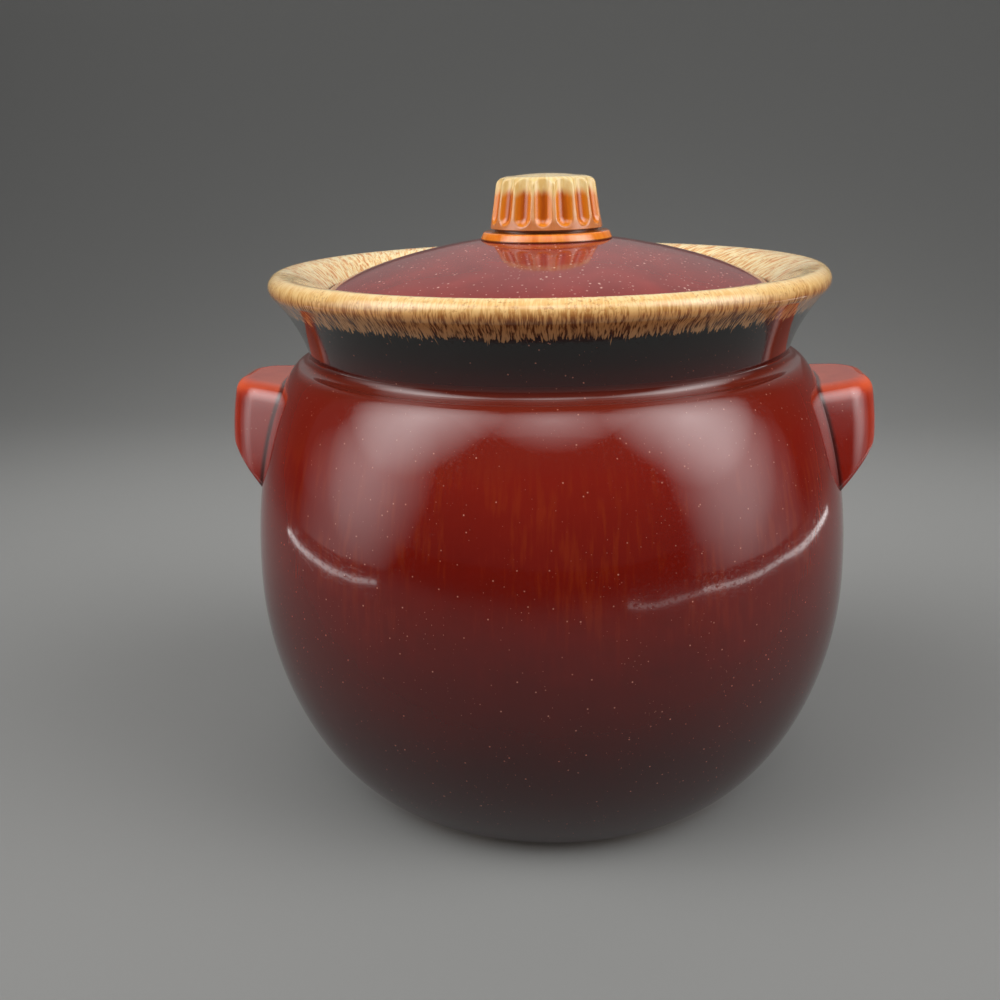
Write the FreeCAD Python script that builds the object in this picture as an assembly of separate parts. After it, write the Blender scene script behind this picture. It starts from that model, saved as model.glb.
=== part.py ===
import FreeCAD, Part
import math
import os

# Stoneware bean pot: a squat, round-bellied pot with two lug handles luted to its shoulder, and
# a loose domed lid that carries a fluted knob.  Millimetres throughout.
# The origin is the centre of the foot ring, +Z is up and the two lugs stand along X.

# ---- Pot body, outside ----
foot_radius = 57.0              # outer edge of the foot ring
foot_band = 1.0                 # upright edge of the foot ring, before the belly swells
belly_radius = 84.4             # widest part of the belly
belly_height = 63.0             # height of the widest part
shoulder_height = 123.0         # where the shoulder turns in to meet the neck
neck_radius = 66.3              # narrowest part of the neck
crease_radius = 3.2             # hollow between shoulder and neck
crease_rise = 2.6               # height of that hollow
flare_radius = 75.2             # where the neck flares into the rolled rim
flare_height = 142.0            # height of that place
flare_bow = 1.1                 # how far the flare curves in from a straight cone
rim_radius = 76.2               # outermost part of the rolled rim
rim_ridge_radius = 73.4         # highest line of the rim
rim_height = 147.6              # height of that line

# ---- Pot body, inside ----
wall = 5.6                      # wall of the belly
floor_thickness = 7.5           # from the table to the inside of the floor
floor_radius = 50.0             # flat part of the floor inside
throat_radius = 57.5            # bore of the mouth, below the ledge that carries the lid
throat_depth = 14.0             # straight stretch of the mouth below the ledge
throat_ease = 5.0               # how far the throat keeps its line into the shoulder
shoulder_ease = 8.0             # how far below the shoulder the inside starts to close
foot_ring_width = 8.0           # bare ring that the pot stands on
foot_recess = 1.5               # hollow inside the foot ring

# ---- Lid ----
lid_radius = 60.6               # outer edge of the lid
lid_edge_thickness = 3.5        # upright edge of the lid
lid_rise = 12.6                 # from that edge up to the flat seat of the knob
lid_shell = 5.0                 # thickness of the domed shell
lid_crown_reach = 30.0          # how far out the crown falls only gently
lid_crown_fall = 1.6            # how far it falls there
lid_brow_reach = 9.1            # how far in from the edge the dome steepens
lid_brow_rise = 6.5             # rise of that steep stretch
ledge_height = 138.4            # ledge in the mouth that the lid rests on
seat_clearance = 0.7            # around the lid's edge, in its seat
ring_clearance = 1.5            # around the lid's locating ring, in the throat
ring_thickness = 4.0
ring_depth = 8.4                # how far the locating ring hangs into the throat
ring_rounding = 1.2             # on the lower edges of the locating ring

# ---- Knob ----
knob_flange_radius = 18.2
knob_flange_thickness = 2.2
knob_flange_slope = 1.0         # how much smaller the flange is at its top
knob_waist_radius = 14.2        # between the flange and the fluted grip
knob_waist_height = 0.8
knob_foot_radius = 15.4         # bottom of the fluted grip
knob_top_radius = 13.7          # top of the fluted grip, below its rounding
knob_height = 17.3              # from the lid to the top of the knob
knob_crown_radius = 9.0         # nearly level part of the knob's top
knob_crown_fall = 0.6           # how far that part falls off to its edge
knob_shoulder_height = 3.4      # rounding from the crown down to the grip
flute_count = 16
flute_radius = 2.3              # round-bottomed flutes
flute_depth = 1.3
flute_foot_gap = 1.4            # plain band between the flutes and the bottom of the grip

# ---- Lug handles ----
lug_reach = 5.7                 # how far a lug stands out past the belly
lug_top_height = 116.4
lug_width = 36.6                # along the wall of the pot
lug_plan_corner = 9.5           # upright corners, seen from above
lug_top_corner = 4.5            # outer corner, seen from the side
lug_edge_rounding = 2.0         # upper edges
lug_front_height = 9.9          # upright front, below the outer corner
lug_under_radius = 19.0         # rounding from there under, to the wall of the pot
lug_keel_slant = 53.0           # slope of the keel line under the lug, in degrees
lug_keel_sag = 4.8              # how much lower the keel is than the lug's sides

# ---- Swell of the belly, as powers in its formula; with 1 it is part of an ellipse ----
low_radius_power = 1.41         # below the widest part
low_height_power = 1.02
high_radius_power = 1.42        # above the widest part
high_height_power = 0.993
curve_stations = 12             # points that carry each such curve

quarter_turn = math.pi / 2
full_turn = 360.0
up = FreeCAD.Vector(0, 0, 1)
centre = FreeCAD.Vector(0, 0, 0)

# ---- Sizes that follow from the ones above ----
inner_belly_radius = belly_radius - wall
seat_radius = lid_radius + seat_clearance
lid_edge_top = ledge_height + lid_edge_thickness
lid_seat_height = lid_edge_top + lid_rise
ring_radius = throat_radius - ring_clearance
ring_inner_radius = ring_radius - ring_thickness
ring_bottom = ledge_height - ring_depth
throat_bottom = ledge_height - throat_depth
lug_front = belly_radius + lug_reach
lug_front_foot = lug_top_height - lug_top_corner - lug_front_height


def at(radius, height):
    """A point of a turned profile, in the XZ plane."""
    return FreeCAD.Vector(radius, 0, height)


def line(start, end):
    """A straight edge."""
    return Part.LineSegment(start, end).toShape()


def polyline(points):
    """Straight edges through the points, in order."""
    return [line(start, end) for start, end in zip(points, points[1:])]


def curve(*poles):
    """A Bezier edge; its end tangents lie along its first and last pairs of poles."""
    bezier = Part.BezierCurve()
    bezier.setPoles(list(poles))
    return bezier.toShape()


def bowed(start, end, bow):
    """An arc from start to end that lies bow inside the straight line between them."""
    chord = end - start
    inward = FreeCAD.Vector(-chord.z, 0, chord.x).normalize()
    middle = (start + end) / 2 + inward * bow
    return Part.Arc(start, middle, end).toShape()


def bulge(end, peak, radius_power, height_power):
    """A quarter of a rounded belly, from its level end to its upright widest point."""
    points = []
    for station in range(curve_stations + 1):
        angle = quarter_turn * (1 - station / curve_stations)
        radius = end.x + (peak.x - end.x) * math.cos(angle) ** radius_power
        height = peak.z + (end.z - peak.z) * math.sin(angle) ** height_power
        points.append(at(radius, height))
    points[0] = end
    points[-1] = peak
    spline = Part.BSplineCurve()
    spline.interpolate(Points=points)
    return spline.toShape()


def turned(edges):
    """The solid that a closed profile sweeps when it turns about the Z axis."""
    wire = Part.Wire(Part.__sortEdges__(edges))
    return Part.Face(wire).revolve(centre, up, full_turn)


def outside_of_pot():
    """Edges of the pot's outside, from the foot ring up to the ridge of the rim."""
    foot = at(foot_radius, foot_band)
    belly = at(belly_radius, belly_height)
    shoulder = at(neck_radius + crease_radius, shoulder_height)
    neck = at(neck_radius, shoulder_height + crease_rise)
    flare = at(flare_radius, flare_height)
    rim_middle = at(rim_radius, (flare_height + rim_height) / 2)
    ridge = at(rim_ridge_radius, rim_height)
    return [
        bulge(foot, belly, low_radius_power, low_height_power),
        bulge(shoulder, belly, high_radius_power, high_height_power),
        curve(shoulder, at(neck_radius, shoulder_height), neck),
        bowed(neck, flare, flare_bow),
        Part.Arc(flare, rim_middle, ridge).toShape(),
    ]


def pot_plug():
    """The pot as if it were solid right through: what a lug is cut to fit against."""
    edges = outside_of_pot()
    edges += polyline([at(rim_ridge_radius, rim_height), at(0, rim_height), centre,
                       at(foot_radius, 0), at(foot_radius, foot_band)])
    return turned(edges)


def pot_body():
    """The hollow pot, with its ledge for the lid and its recessed foot."""
    ridge = at(rim_ridge_radius, rim_height)
    seat_top = at(seat_radius, lid_edge_top)
    flare_inside = curve(ridge,
                         at((rim_ridge_radius + seat_radius) / 2, rim_height),
                         seat_top)
    mouth = polyline([seat_top, at(seat_radius, ledge_height), at(throat_radius, ledge_height),
                      at(throat_radius, throat_bottom)])
    shoulder_inside = curve(at(throat_radius, throat_bottom),
                            at(throat_radius, throat_bottom - throat_ease),
                            at(inner_belly_radius, shoulder_height - shoulder_ease),
                            at(inner_belly_radius, belly_height))
    belly_inside = bulge(at(floor_radius, floor_thickness), at(inner_belly_radius, belly_height),
                         low_radius_power, low_height_power)
    ring_inside = foot_radius - foot_ring_width
    underside = polyline([at(floor_radius, floor_thickness), at(0, floor_thickness),
                          at(0, foot_recess), at(ring_inside - foot_recess, foot_recess),
                          at(ring_inside, 0), at(foot_radius, 0), at(foot_radius, foot_band)])
    edges = outside_of_pot() + [flare_inside, shoulder_inside, belly_inside] + mouth + underside
    return turned(edges)


def lug():
    """One lug on the +X side: a tab with rounded corners and a keeled underside."""
    half_width = lug_width / 2
    low = lug_front_foot - lug_under_radius
    height = lug_top_height - low
    # The block starts inside the wall, so that cutting it to the pot leaves no gap.
    block = Part.makeBox(lug_front - throat_radius, lug_width, height,
                         FreeCAD.Vector(throat_radius, -half_width, low))
    corners = [edge for edge in block.Edges
               if edge.BoundBox.ZLength > height / 2 and edge.BoundBox.XMin > throat_radius]
    block = block.makeFillet(lug_plan_corner, corners)
    rim = [edge for edge in block.Edges
           if edge.BoundBox.ZMin > lug_top_height - lug_edge_rounding
           and edge.BoundBox.XMax > throat_radius + lug_edge_rounding]
    block = block.makeFillet(lug_edge_rounding, rim)
    return block.common(lug_side_shape()).common(lug_keel_shape()).cut(pot_plug())


def lug_side_shape():
    """The lug seen from the side: level on top, rounded outside and rounded under."""
    top_centre = at(lug_front - lug_top_corner, lug_top_height - lug_top_corner)
    under_centre = at(lug_front - lug_under_radius, lug_front_foot)
    front_top = top_centre + at(lug_top_corner, 0)
    front_foot = under_centre + at(lug_under_radius, 0)
    top_edge = top_centre + at(0, lug_top_corner)
    under_edge = under_centre + at(0, -lug_under_radius)
    edges = polyline([under_edge, at(0, under_edge.z), at(0, lug_top_height), top_edge])
    edges += [
        corner_arc(top_centre, lug_top_corner, 1),
        line(front_top, front_foot),
        corner_arc(under_centre, lug_under_radius, -1),
    ]
    return across_lug(edges, FreeCAD.Vector(0, lug_width, 0))


def corner_arc(middle, radius, side):
    """A quarter round from straight out to straight up (side 1) or straight down (side -1)."""
    slant = radius * math.cos(quarter_turn / 2)
    return Part.Arc(middle + at(radius, 0), middle + at(slant, side * slant),
                    middle + at(0, side * radius)).toShape()


def across_lug(edges, half_sweep):
    """The closed outline swept both ways from where it is drawn, by half_sweep each way."""
    face = Part.Face(Part.Wire(Part.__sortEdges__(edges)))
    face.translate(-half_sweep)
    return face.extrude(half_sweep * 2)


def lug_keel_shape():
    """What lies above the rounded keel, which touches the round underside and rises outwards."""
    slant = math.radians(lug_keel_slant)
    touch = at(lug_front - lug_under_radius, lug_front_foot) + at(
        lug_under_radius * math.sin(slant), -lug_under_radius * math.cos(slant))
    side = FreeCAD.Vector(0, lug_width / 2, 0)
    left = touch - side + up * lug_keel_sag
    right = touch + side + up * lug_keel_sag
    past_the_lug = lug_front
    above = up * 2 * past_the_lug
    edges = polyline([right, right + above, left + above, left])
    edges.append(Part.Arc(left, touch, right).toShape())
    return across_lug(edges, at(math.cos(slant), math.sin(slant)) * past_the_lug)


def lid():
    """The domed lid: a level seat for the knob, a hollow underside and a locating ring."""
    seat_edge = at(knob_flange_radius, lid_seat_height)
    edge_top = at(lid_radius, lid_edge_top)
    dome = curve(seat_edge,
                 at(lid_crown_reach, lid_seat_height - lid_crown_fall),
                 at(lid_radius - lid_brow_reach, lid_edge_top + lid_brow_rise),
                 edge_top)
    top = [line(at(0, lid_seat_height), seat_edge), dome]
    inner_crown = lid_seat_height - lid_crown_fall - lid_shell
    edge = polyline([edge_top, at(lid_radius, ledge_height), at(ring_radius, ledge_height),
                     at(ring_radius, ring_bottom + ring_rounding)])
    ring_edge = [
        line(at(ring_radius, ring_bottom + ring_rounding),
             at(ring_radius - ring_rounding, ring_bottom)),
        line(at(ring_radius - ring_rounding, ring_bottom),
             at(ring_inner_radius + ring_rounding, ring_bottom)),
        line(at(ring_inner_radius + ring_rounding, ring_bottom),
             at(ring_inner_radius, ring_bottom + ring_rounding)),
    ]
    under = [
        line(at(ring_inner_radius, ring_bottom + ring_rounding), at(ring_inner_radius, ledge_height)),
        curve(at(ring_inner_radius, ledge_height),
              at(ring_inner_radius - lid_brow_reach, inner_crown),
              at(lid_crown_reach, inner_crown),
              at(0, inner_crown)),
        line(at(0, inner_crown), at(0, lid_seat_height)),
    ]
    return turned(top + edge + ring_edge + under)


def knob():
    """The knob: a thin flange on the lid, a waist, and a fluted, slightly tapered grip."""
    flange_top = lid_seat_height + knob_flange_thickness
    grip_bottom = flange_top + knob_waist_height
    top = lid_seat_height + knob_height
    crown_edge = at(knob_crown_radius, top - knob_crown_fall)
    grip_top = at(knob_top_radius, top - knob_shoulder_height)
    grip_foot = at(knob_foot_radius, grip_bottom)
    side = polyline([at(0, lid_seat_height), at(knob_flange_radius, lid_seat_height),
                     at(knob_flange_radius - knob_flange_slope, flange_top),
                     at(knob_waist_radius, flange_top), at(knob_waist_radius, grip_bottom),
                     grip_foot, grip_top])
    shoulder = curve(grip_top, at(knob_top_radius, top - knob_crown_fall), crown_edge)
    crown = [line(crown_edge, at(0, top)), line(at(0, top), at(0, lid_seat_height))]
    blank = turned(side + [shoulder] + crown)
    return blank.cut(flutes(grip_foot, grip_top, top))


def flutes(grip_foot, grip_top, top):
    """The cutters of all the flutes: round-ended rods that lie along the taper of the grip."""
    taper = (grip_top - grip_foot).normalize()
    outward = FreeCAD.Vector(taper.z, 0, -taper.x)
    start = (grip_foot + taper * (flute_foot_gap + flute_radius)
             + outward * (flute_radius - flute_depth))
    rod = Part.makeCylinder(flute_radius, top - start.z, start, taper)
    rod = rod.fuse(Part.makeSphere(flute_radius, start))
    cutters = []
    for index in range(flute_count):
        cutter = rod.copy()
        cutter.rotate(centre, up, full_turn * index / flute_count)
        cutters.append(cutter)
    return Part.makeCompound(cutters)


def main():
    """Make every piece and write it to its own STEP file."""
    os.makedirs("parts", exist_ok=True)
    right_lug = lug()
    left_lug = right_lug.copy()
    left_lug.rotate(centre, up, full_turn / 2)
    parts = {
        "pot_body": pot_body(),
        "lug_left": left_lug,
        "lug_right": right_lug,
        "lid": lid(),
        "lid_knob": knob(),
    }
    for name, shape in parts.items():
        shape.exportStep(f"parts/{name}.step")
        box = shape.BoundBox
        print(name, shape.ShapeType, len(shape.Solids), "valid", shape.isValid(),
              f"volume {shape.Volume:.0f}",
              f"x {box.XMin:.1f} {box.XMax:.1f} z {box.ZMin:.1f} {box.ZMax:.1f}")


main()
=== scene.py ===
"""The looks of a glazed stoneware bean pot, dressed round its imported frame.

The pot, its two lugs, the lid and the knob are modelled here as finer pieces than the frame's,
in metres and in the frame's own places.  Each piece rides on its body and gets its glaze.
"""

import logging
import math
from collections.abc import Mapping, Sequence
from dataclasses import dataclass
from enum import Enum
from typing import Any

import bmesh
import bpy
import numpy as np
from mathutils import Matrix, Vector


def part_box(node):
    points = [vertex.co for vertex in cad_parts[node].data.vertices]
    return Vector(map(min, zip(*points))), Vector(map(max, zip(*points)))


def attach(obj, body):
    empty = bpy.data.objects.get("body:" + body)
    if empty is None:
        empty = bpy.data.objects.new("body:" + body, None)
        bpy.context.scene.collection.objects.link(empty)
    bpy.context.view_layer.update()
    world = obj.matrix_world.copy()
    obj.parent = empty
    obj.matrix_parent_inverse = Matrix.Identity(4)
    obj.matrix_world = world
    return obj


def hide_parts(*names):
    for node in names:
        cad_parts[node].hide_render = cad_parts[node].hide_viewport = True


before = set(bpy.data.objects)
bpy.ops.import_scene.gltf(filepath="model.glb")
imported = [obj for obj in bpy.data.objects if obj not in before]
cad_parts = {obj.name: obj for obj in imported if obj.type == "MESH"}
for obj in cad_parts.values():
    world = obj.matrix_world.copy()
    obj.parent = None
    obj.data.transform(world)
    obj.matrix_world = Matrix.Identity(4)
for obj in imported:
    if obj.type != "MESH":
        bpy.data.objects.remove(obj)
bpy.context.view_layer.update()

LOG = logging.getLogger("bean_pot")

MM = 0.001
PER_MM = 1000.0
FULL_TURN = 2.0 * math.pi
QUARTER_TURN = 0.5 * math.pi
DOUBLES = 1e-6
CORNER_STEPS = 5

Colour = tuple[float, float, float, float]
Point = tuple[float, float]
Stop = tuple[float, int, int, int]


def tone(red: int, green: int, blue: int) -> Colour:
    """Turn a screen colour into the linear light that shaders use, by the screens' own curve.

    Args:
        red: Red as a screen shows it, from 0 to 255.
        green: Green, in the same way.
        blue: Blue, in the same way.

    Returns:
        The linear colour, with full alpha.
    """
    linear = []
    for share in (red / 255.0, green / 255.0, blue / 255.0):
        linear.append(share / 12.92 if share <= 0.04045 else ((share + 0.055) / 1.055) ** 2.4)
    return linear[0], linear[1], linear[2], 1.0


class Body(Enum):
    """The two bodies of the frame."""

    POT = "pot"
    COVER = "cover"


class Slot(Enum):
    """The material slots of the record."""

    POT = "pot_glaze"
    LUG = "lug_glaze"
    LID = "lid_glaze"
    KNOB = "knob_glaze"


# ---- Shader maths ----


class Value:
    """A socket that carries a number, so that shader maths reads as an expression."""

    def __init__(self, shader: "Shader", socket: bpy.types.NodeSocket) -> None:
        """Keep the socket and the shader that it belongs to."""
        self.shader = shader
        self.socket = socket

    def __add__(self, other: "Feed") -> "Value":
        """Add a number or another value."""
        return self.shader.math("ADD", self, other)

    def __radd__(self, other: "Feed") -> "Value":
        """Add to a number."""
        return self.shader.math("ADD", other, self)

    def __sub__(self, other: "Feed") -> "Value":
        """Take a number or another value away."""
        return self.shader.math("SUBTRACT", self, other)

    def __rsub__(self, other: "Feed") -> "Value":
        """Take this value away from a number."""
        return self.shader.math("SUBTRACT", other, self)

    def __mul__(self, other: "Feed") -> "Value":
        """Multiply by a number or another value."""
        return self.shader.math("MULTIPLY", self, other)

    def __rmul__(self, other: "Feed") -> "Value":
        """Multiply a number by this value."""
        return self.shader.math("MULTIPLY", other, self)

    def __truediv__(self, other: "Feed") -> "Value":
        """Divide by a number or another value."""
        return self.shader.math("DIVIDE", self, other)

    def between(self, low: "Feed", high: "Feed") -> "Value":
        """Rise smoothly from 0 at low to 1 at high; with low above high it falls."""
        mapping = self.shader.node("ShaderNodeMapRange", {"interpolation_type": "SMOOTHSTEP"},
                                   {"Value": self, "From Min": low, "From Max": high})
        return Value(self.shader, mapping.outputs["Result"])


Feed = Value | float | Sequence[float]


class Shader:
    """The node tree of one material."""

    def __init__(self, name: str) -> None:
        """Start an empty material."""
        self.material = bpy.data.materials.new(name)
        self.material.use_nodes = True
        self.tree = self.material.node_tree
        self.tree.nodes.clear()

    def node(self, kind: str, settings: Mapping[str, Any] | None = None,
             inputs: Mapping[str | int, Any] | None = None) -> bpy.types.Node:
        """Add one node.

        Args:
            kind: The node's type.
            settings: Its own settings; a ramp's stops are set as its colours.
            inputs: Values or links of its sockets, by name or number.

        Returns:
            The node, set and linked.
        """
        node = self.tree.nodes.new(kind)
        for name, setting in (settings or {}).items():
            if name == "stops":
                self._set_stops(node.color_ramp, setting)
            else:
                setattr(node, name, setting)
        for name, feed in (inputs or {}).items():
            socket = node.inputs[name]
            if isinstance(feed, Value):
                self.tree.links.new(feed.socket, socket)
            else:
                socket.default_value = feed
        return node

    @staticmethod
    def _set_stops(ramp: bpy.types.ColorRamp, stops: Sequence[Stop]) -> None:
        """Give a ramp its colours, each at its place."""
        while len(ramp.elements) < len(stops):
            ramp.elements.new(1.0)
        for element, (place, *colour) in zip(ramp.elements, stops):
            element.position = place
            element.color = tone(*colour)

    def math(self, operation: str, *feeds: Feed) -> Value:
        """Work out numbers with one Math node."""
        node = self.node("ShaderNodeMath", {"operation": operation}, dict(enumerate(feeds)))
        return Value(self, node.outputs[0])

    def vector(self, operation: str, *feeds: Feed) -> Value:
        """Work out vectors with one Vector Math node."""
        node = self.node("ShaderNodeVectorMath", {"operation": operation}, dict(enumerate(feeds)))
        return Value(self, node.outputs["Vector"])

    def scaled(self, vector: Value, factor: float) -> Value:
        """Make a vector longer or shorter."""
        node = self.node("ShaderNodeVectorMath", {"operation": "SCALE"},
                         {0: vector, "Scale": factor})
        return Value(self, node.outputs["Vector"])

    def place(self) -> Value:
        """The place on the object, in millimetres."""
        node = self.node("ShaderNodeTexCoord")
        return self.scaled(Value(self, node.outputs["Object"]), PER_MM)

    def height(self, place: Value) -> Value:
        """The height of a place."""
        node = self.node("ShaderNodeSeparateXYZ", None, {0: place})
        return Value(self, node.outputs["Z"])

    def attribute(self, name: str) -> Value:
        """A number that the mesh carries at each of its points."""
        node = self.node("ShaderNodeAttribute", {"attribute_name": name})
        return Value(self, node.outputs["Fac"])

    def round_axis(self, place: Value, radius: float, along: Feed, swirl: Feed = 0.0) -> Value:
        """Lay a pattern round the axis, so that it follows the turned shape.

        Args:
            place: The place on the object.
            radius: How far round one turn reaches, as the radius of a circle.
            along: The place along the outline, scaled as the pattern is drawn out.
            swirl: An angle that turns the pattern round the axis.

        Returns:
            The place in the pattern.
        """
        flat = self.vector("MULTIPLY", place, (1.0, 1.0, 0.0))
        ring = self.scaled(self.vector("NORMALIZE", flat), radius)
        turned = self.node("ShaderNodeVectorRotate", {"rotation_type": "Z_AXIS"},
                           {"Vector": ring, "Angle": swirl})
        rise = self.node("ShaderNodeCombineXYZ", None, {"Z": along})
        return self.vector("ADD", Value(self, turned.outputs[0]), Value(self, rise.outputs[0]))

    def noise(self, place: Value, size: float, detail: float = 2.0, warp: float = 0.0) -> Value:
        """Cloudy noise from 0 to 1.

        Args:
            place: Where in the noise.
            size: The width of its largest clouds, in the units of place.
            detail: How many finer layers it has.
            warp: How far it is stirred.

        Returns:
            The noise.
        """
        node = self.node("ShaderNodeTexNoise", {"noise_dimensions": "3D"}, {
            "Vector": place, "Scale": 1.0 / size, "Detail": detail, "Distortion": warp})
        return Value(self, node.outputs["Fac"])

    def specks(self, place: Value, spacing: float, radius: float) -> Value:
        """Small round specks, 1 in their middles and 0 between them."""
        node = self.node("ShaderNodeTexVoronoi", {"feature": "F1"},
                         {"Vector": place, "Scale": 1.0 / spacing})
        distance = Value(self, node.outputs["Distance"]) * spacing
        return distance.between(radius, 0.0)

    def ramp(self, factor: Value, *stops: Stop, span: float = 1.0) -> Value:
        """A colour that follows a number through a row of stops.

        Args:
            factor: The number, from 0 to 1.
            stops: The place of each colour, with its red, green and blue as a screen shows them.
            span: What the places of the stops are measured against.

        Returns:
            The colour.
        """
        placed = [(place / span, *colour) for place, *colour in stops]
        node = self.node("ShaderNodeValToRGB", {"stops": placed}, {"Fac": factor})
        return Value(self, node.outputs["Color"])

    def mix(self, factor: Feed, first: Any, second: Any) -> Value:
        """Go from the first colour, at 0, to the second, at 1."""
        node = self.node("ShaderNodeMix", {"data_type": "RGBA"},
                         {0: factor, 6: first, 7: second})
        return Value(self, node.outputs[2])

    def bump(self, height: Value, depth: float) -> Value:
        """Turn a relief from 0 to 1 into a normal, with its depth in metres."""
        node = self.node("ShaderNodeBump", None, {"Height": height, "Distance": depth})
        return Value(self, node.outputs["Normal"])

    def finish(self, inputs: Mapping[str, Any]) -> bpy.types.Material:
        """Close the tree with its one surface, given the values or links of its sockets."""
        surface = self.node("ShaderNodeBsdfPrincipled", None, inputs)
        shown = Value(self, surface.outputs["BSDF"])
        self.node("ShaderNodeOutputMaterial", None, {"Surface": shown})
        return self.material


# ---- Finishes ----


@dataclass(frozen=True)
class Gloss:
    """How a fired glaze shines: smooth, but a little wavy and grainy."""

    index: float = 1.6
    smoothness: float = 0.06
    grain_roughness: float = 0.14
    grain_width: float = 0.7
    grain_start: float = 0.48
    grain_full: float = 0.72
    wave_width: float = 13.0
    wave_depth: float = 0.07 * MM

    def finish(self, shader: Shader, place: Value, colour: Value,
               extra: Feed = 0.0) -> bpy.types.Material:
        """Lay the shine over a colour and close the tree.

        Args:
            shader: The tree.
            place: The place on the object.
            colour: The colour of the glaze.
            extra: Roughness on top of that of the glaze.

        Returns:
            The material.
        """
        grain = shader.noise(place, self.grain_width, 2.0)
        grain = grain.between(self.grain_start, self.grain_full)
        waves = shader.noise(place, self.wave_width, 1.0)
        return shader.finish({
            "IOR": self.index,
            "Roughness": grain * self.grain_roughness + self.smoothness + extra,
            "Normal": shader.bump(waves, self.wave_depth),
            "Base Color": colour,
        })


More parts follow.
